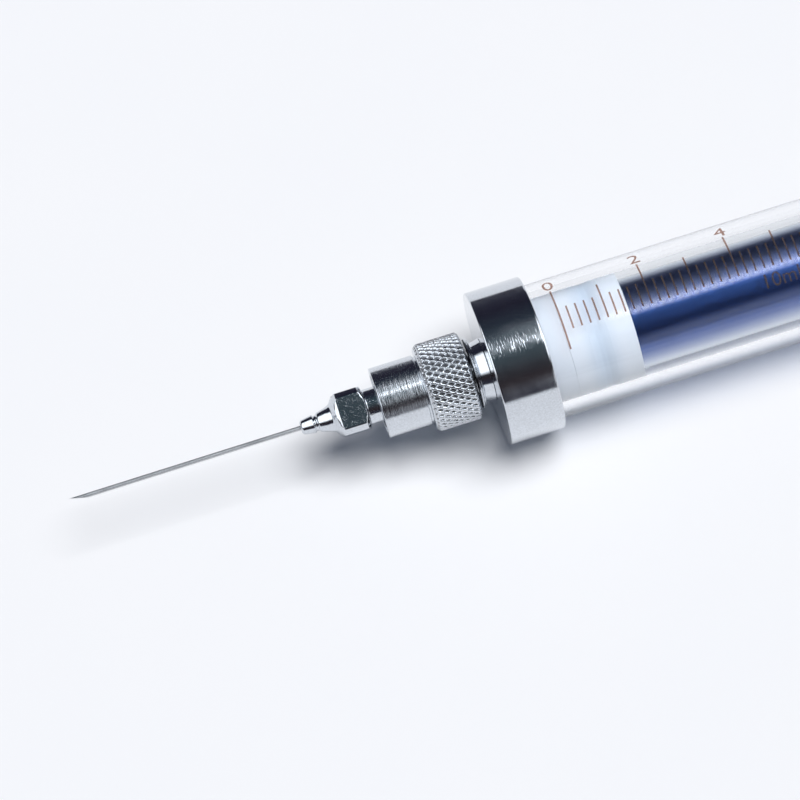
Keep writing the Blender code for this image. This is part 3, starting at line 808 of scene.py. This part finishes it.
def thread_ridges(station, angle):
    """How far the two-start thread stands in from the wall of the mouth: sqrt(wire^2 - away^2), for two round
    wires, half sunk, along the helix that lies a quarter of the lead to each side of the lugs."""
    middle = lug_station + thread_lead / 4 + thread_lead * (1.5 * np.pi - angle) / (2 * np.pi)
    pitch = thread_lead / 2
    away = (station - middle + pitch / 2) % pitch - pitch / 2
    first = np.clip((station - thread_start) / thread_fade, 0, 1)
    last = np.clip((thread_end - station) / thread_fade, 0, 1)
    return np.sqrt(np.clip(thread_wire**2 - away**2, 0, None)) * first * last


stations, radii = eased(
    [
        (collar_front, nose_radius),
        (knurl_front - 0.35, nose_radius),
        (knurl_front - 0.35, nose_radius - 0.25),
        (knurl_front, nose_radius - 0.25),
        (knurl_front, knurl_radius - 0.55),
        (knurl_front + 0.55, knurl_radius),
        (collar_rear - 0.28, knurl_radius),
        (collar_rear, knurl_radius - 0.28),
        (collar_rear, bearing_radius),
        (collar_floor, bearing_radius),
        (collar_floor, mouth_radius),
        (collar_front, mouth_radius),
    ],
    0.12,
)
stations, radii = with_rows(stations, radii, 3.0, 0.125, plain=(nose_radius, bearing_radius))
columns = 504
stations, radii, angles = stations[:, None], radii[:, None], round_angles(columns)
grip = (stations > knurl_front - 0.01) & (radii > nose_radius)
mouth = (stations < collar_floor) & (radii < mouth_radius + 0.01)
radii = np.where(grip, np.minimum(radii, knurl_radius - knurl_pits(stations, angles)), radii)
radii = np.where(mouth, radii - thread_ridges(stations, angles), radii)
brushed_chrome = turned_metal("brushed_chrome", CHROME, 0.16, 0.03, 0.16, 0.004)
# Shade is painted into the knurl's pits.
dirty_pits(brushed_chrome)
fit(turned("lock_collar", stations, radii, columns), "collar", "bright_chrome", brushed_chrome, "luer_collar")

# ------------------------------------------------------------------------------------ the needle's hub
# Chromed brass: its nose is crimped on the tube, a square grip takes the fingers, and two ears at its Luer
# mouth catch the collar's thread. Handling has left the flats of the grip faintly speckled.

hub_front, hub_mouth, _ = span("needle_hub")
half_square, first_flat = 2.9, math.radians(63)
block_front, block_rear = -21.6, -17.0
lug_radius, lug_half_length, lug_half_width = 3.7, 0.35, 1.3
stations, radii = eased(
    [
        (hub_front, 0.34),
        (hub_front, 0.75),
        (hub_front + 0.25, 0.98),
        (hub_front + 1.8, 1.25),
        (hub_front + 2.0, 1.06),
        (hub_front + 2.3, 1.06),
        (hub_front + 2.5, 1.32),
        (-22.3, 1.66),
        (-21.7, 1.95),
        (-21.25, 2.6),
        (-20.6, 3.6),
        (-17.5, 3.6),
        (-17.1, 3.05),
        (-16.95, 2.42),
        (-13.4, 2.42),
        (-13.0, 2.75),
        (hub_mouth, 2.75),
        (hub_mouth, 2.2),
        (-17.8, 2.01),
        (-17.8, 1.2),
        (-18.6, 1.2),
        (-18.6, 0.34),
    ],
    0.14,
)
stations, radii = with_rows(stations, radii, 1.2, 0.12)
columns = 288
stations, radii, angles = stations[:, None], radii[:, None], round_angles(columns)
from_flat = (angles - first_flat + np.pi / 4) % (np.pi / 2) - np.pi / 4
square = half_square / np.cos(from_flat)
block = (stations > block_front) & (stations < block_rear)
radii = np.where(block, np.minimum(radii, square), radii)
from_lug = (angles + np.pi) % np.pi - np.pi / 2
lug_middle = lug_station - thread_lead * from_lug / (2 * np.pi)
along_lug = np.abs(stations - lug_middle) < lug_half_length
inside_lug = along_lug & (np.abs(np.sin(from_lug)) * lug_radius < lug_half_width)
radii = np.where(inside_lug & (radii > 2.5), lug_radius, radii)
hub_chrome = turned_metal("hub_chrome", CHROME, 0.09, 0.001, 0.12, 0.001, 0.0028, (6500, 6500, 6500))
fit(turned("hub_body", stations, radii, columns), "needle", "bright_chrome", hub_chrome, "needle_hub")

# ------------------------------------------------------------------------------------------ the needle
# Drawn stainless tube, soldered in the hub. Its tip is ground to a slope, so that a point of the end at
# radius r and angle a has the station tip + slope (1 + cos(a - side) r / tube radius) / 2.

tip_station, tube_rear, tube_radius = span("needle_cannula")
lumen_radius, slope_length, slope_side = 0.16, 2.6, math.radians(-32)
columns = 32
angles = round_angles(columns)
rows = np.array([0.0, 0.002, 0.05, 0.98, 1.0])
outer = tip_station + slope_length * (1 + np.cos(angles - slope_side)) / 2
inner = tip_station + slope_length * (1 + lumen_radius / tube_radius * np.cos(angles - slope_side)) / 2
outside = outer + (tube_rear - outer) * rows[:, None]
inside = inner + (tube_rear - inner) * rows[::-1, None]
stations = np.concatenate([outside, inside])
radii = np.repeat([tube_radius, lumen_radius], len(rows))[:, None]
steel = turned_metal("cannula_steel", (0.66, 0.67, 0.69), 0.34, 0.003)
fit(turned("needle_tube", stations, radii, columns), "needle", "cannula_steel", steel, "needle_cannula")

# ------------------------------------------------------------------------------------- the rear sleeve
# A chromed brass sleeve cemented over the back of the glass. The finger flange and its ring nut sit on its
# neck, and the rod's guide is pressed in its bore.

sleeve_front, sleeve_rear, sleeve_radius = span("rear_sleeve")
shoulder_inside, shoulder, neck_radius, neck_bore = 84.45, 85.25, 8.4, 7.4
stations, radii = eased(
    [
        (sleeve_front, sleeve_radius),
        (shoulder, sleeve_radius),
        (shoulder, neck_radius),
        (sleeve_rear, neck_radius),
        (sleeve_rear, neck_bore),
        (shoulder_inside, neck_bore),
        (shoulder_inside, glass_radius + 0.04),
        (sleeve_front, glass_radius + 0.04),
    ],
    0.25,
)
fit(turned("sleeve_shell", stations, radii), "barrel", "bright_chrome", chrome, "rear_sleeve")

# ----------------------------------------------------------------------------------- the finger flange
# A chromed brass plate with a raised middle, clamped on the sleeve's neck. It is cut to two flats so that
# the syringe doesn't roll away.

flange_front, flange_rear, flange_radius = span("finger_flange")
boss_radius, boss_height, flat_height = 10.4, 0.3, AXIS_HEIGHT / MM
stations, radii = eased(
    [
        (flange_front, boss_radius),
        (flange_front + boss_height, boss_radius),
        (flange_front + boss_height, flange_radius),
        (flange_rear - boss_height, flange_radius),
        (flange_rear - boss_height, boss_radius),
        (flange_rear, boss_radius),
        (flange_rear, neck_radius + 0.03),
        (flange_front, neck_radius + 0.03),
    ],
    0.3,
)
columns = 360
angles = round_angles(columns)
flat = flat_height / np.maximum(np.abs(np.sin(angles)), 0.1)
radii = np.minimum(radii[:, None], flat)
fit(turned("flange_plate", stations, radii, columns), "barrel", "bright_chrome", chrome, "finger_flange")

# ---------------------------------------------------------------------------------------- the ring nut
# A chromed brass ring on the sleeve's neck, which clamps the flange. Four slots in its rear face take a pin
# spanner.

nut_front, nut_rear, nut_radius = span("flange_nut")
slot_floor, slot_half, slot_depth = 9.2, 0.9, 1.0
stations, radii = eased(
    [
        (nut_front, nut_radius),
        (nut_rear - slot_depth, nut_radius),
        (nut_rear - slot_depth + 0.05, nut_radius),
        (nut_rear, nut_radius),
        (nut_rear, slot_floor + 0.05),
        (nut_rear, neck_radius + 0.03),
        (nut_front, neck_radius + 0.03),
    ],
    0.2,
)
angles = round_angles(columns)
from_slot = angles % (np.pi / 2) - np.pi / 4
near_slot = np.abs(np.sin(from_slot)) * nut_radius < slot_half
in_slot = near_slot & (stations[:, None] > nut_rear - slot_depth + 0.02)
radii = np.where(in_slot, np.minimum(radii[:, None], slot_floor), radii[:, None])
fit(turned("ring_nut", stations, radii, columns), "barrel", "bright_chrome", chrome, "flange_nut")

# ------------------------------------------------------------------------------------- the rod's guide
# A PTFE bush pressed in the sleeve's neck. It keeps the rod central, and stops the piston at the end of its
# travel.

bush_front, bush_rear, _ = span("guide_bush")
stations, radii = eased(
    [
        (bush_front, bore_radius - 0.05),
        (shoulder_inside - 0.05, bore_radius - 0.05),
        (shoulder_inside - 0.05, neck_bore - 0.02),
        (bush_rear, neck_bore - 0.02),
        (bush_rear, rod_radius + 0.06),
        (bush_front, rod_radius + 0.06),
    ],
    0.15,
)
fit(turned("rod_guide", stations, radii), "barrel", "white_ptfe", white, "guide_bush")

# ------------------------------------------------------------------------------------ the thumb button
# A chromed brass disc that the thumb pushes. A plain steel socket screw in its pocket holds it on the
# insert in the rod's rear end.

button_front, button_rear, button_radius = span("thumb_button")
pocket_radius, pocket_floor = 3.2, button_rear - 2.4
stations, radii = eased(
    [
        (button_front, button_radius),
        (button_rear, button_radius),
        (button_rear, pocket_radius),
        (pocket_floor, pocket_radius),
        (pocket_floor, 1.8),
        (button_front, 1.8),
    ],
    0.6,
)
fit(turned("button_disc", stations, radii), "plunger", "bright_chrome", chrome, "thumb_button")

screw_front, screw_rear, screw_radius = span("button_screw")
head_front, shank_radius, key_depth, key_half = button_rear - 2.1, 1.5, 1.2, 1.256
stations, radii = eased(
    [
        (screw_front, 0),
        (screw_front, shank_radius),
        (head_front, shank_radius),
        (head_front, screw_radius),
        (screw_rear, screw_radius),
        (screw_rear, key_half),
        (screw_rear - key_depth, key_half),
        (screw_rear - key_depth, 0),
    ],
    0.15,
    ring=False,
)
columns = 240
angles = round_angles(columns)
hexagon = 1 / np.cos((angles + np.pi / 6) % (np.pi / 3) - np.pi / 6)
stations, radii = stations[:, None], radii[:, None]
socket = (stations > head_front + 0.2) & (radii < 1.9) & (radii > 0.9)
radii = np.where(socket, radii * hexagon, radii)
plain_steel = turned_metal("plain_steel", (0.42, 0.43, 0.45), 0.24, 0.01)
socket_screw = turned("socket_screw", stations, radii, columns, ring=False)
fit(socket_screw, "plunger", "plain_steel", plain_steel, "button_screw")

# ------------------------------------------------------------------------------------ what lies inside
# The nut and spring clip of the stem, the piston's core, the rod's threaded inserts, the O-rings and the
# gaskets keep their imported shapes, and show only where the glass or a bore lets them.


def black_rubber():
    """Moulded rubber: near black, with a dusty bloom in patches."""
    material = bpy.data.materials.new("black_rubber")
    material.use_nodes = True
    tree = material.node_tree
    shader = tree.nodes["Principled BSDF"]
    place = add(tree.nodes, "ShaderNodeTexCoord").outputs["Object"]
    bloom = add(tree.nodes, "ShaderNodeTexNoise", Scale=900.0, Detail=4.0)
    tree.links.new(place, bloom.inputs["Vector"])
    shade = add(tree.nodes, "ShaderNodeMix", data_type="RGBA")
    shade.inputs["A"].default_value = (0.018, 0.018, 0.019, 1)
    shade.inputs["B"].default_value = (0.04, 0.04, 0.042, 1)
    tree.links.new(bloom.outputs[0], shade.inputs["Factor"])
    tree.links.new(shade.outputs["Result"], shader.inputs["Base Color"])
    shader.inputs["Roughness"].default_value = 0.6
    return material


rubber = black_rubber()
aluminium = turned_metal("plain_aluminium", (0.62, 0.63, 0.65), 0.26, 0.012)
INSIDE = {
    "front_gasket": rubber,
    "rear_gasket": rubber,
    "stem_oring": rubber,
    "piston_oring_front": rubber,
    "piston_oring_rear": rubber,
    "stem_nut": plain_steel,
    "collar_circlip": plain_steel,
    "piston_core": aluminium,
    "rod_front_insert": aluminium,
    "rod_rear_insert": aluminium,
}
for node, material in INSIDE.items():
    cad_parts[node].data.materials.clear()
    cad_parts[node].data.materials.append(material)
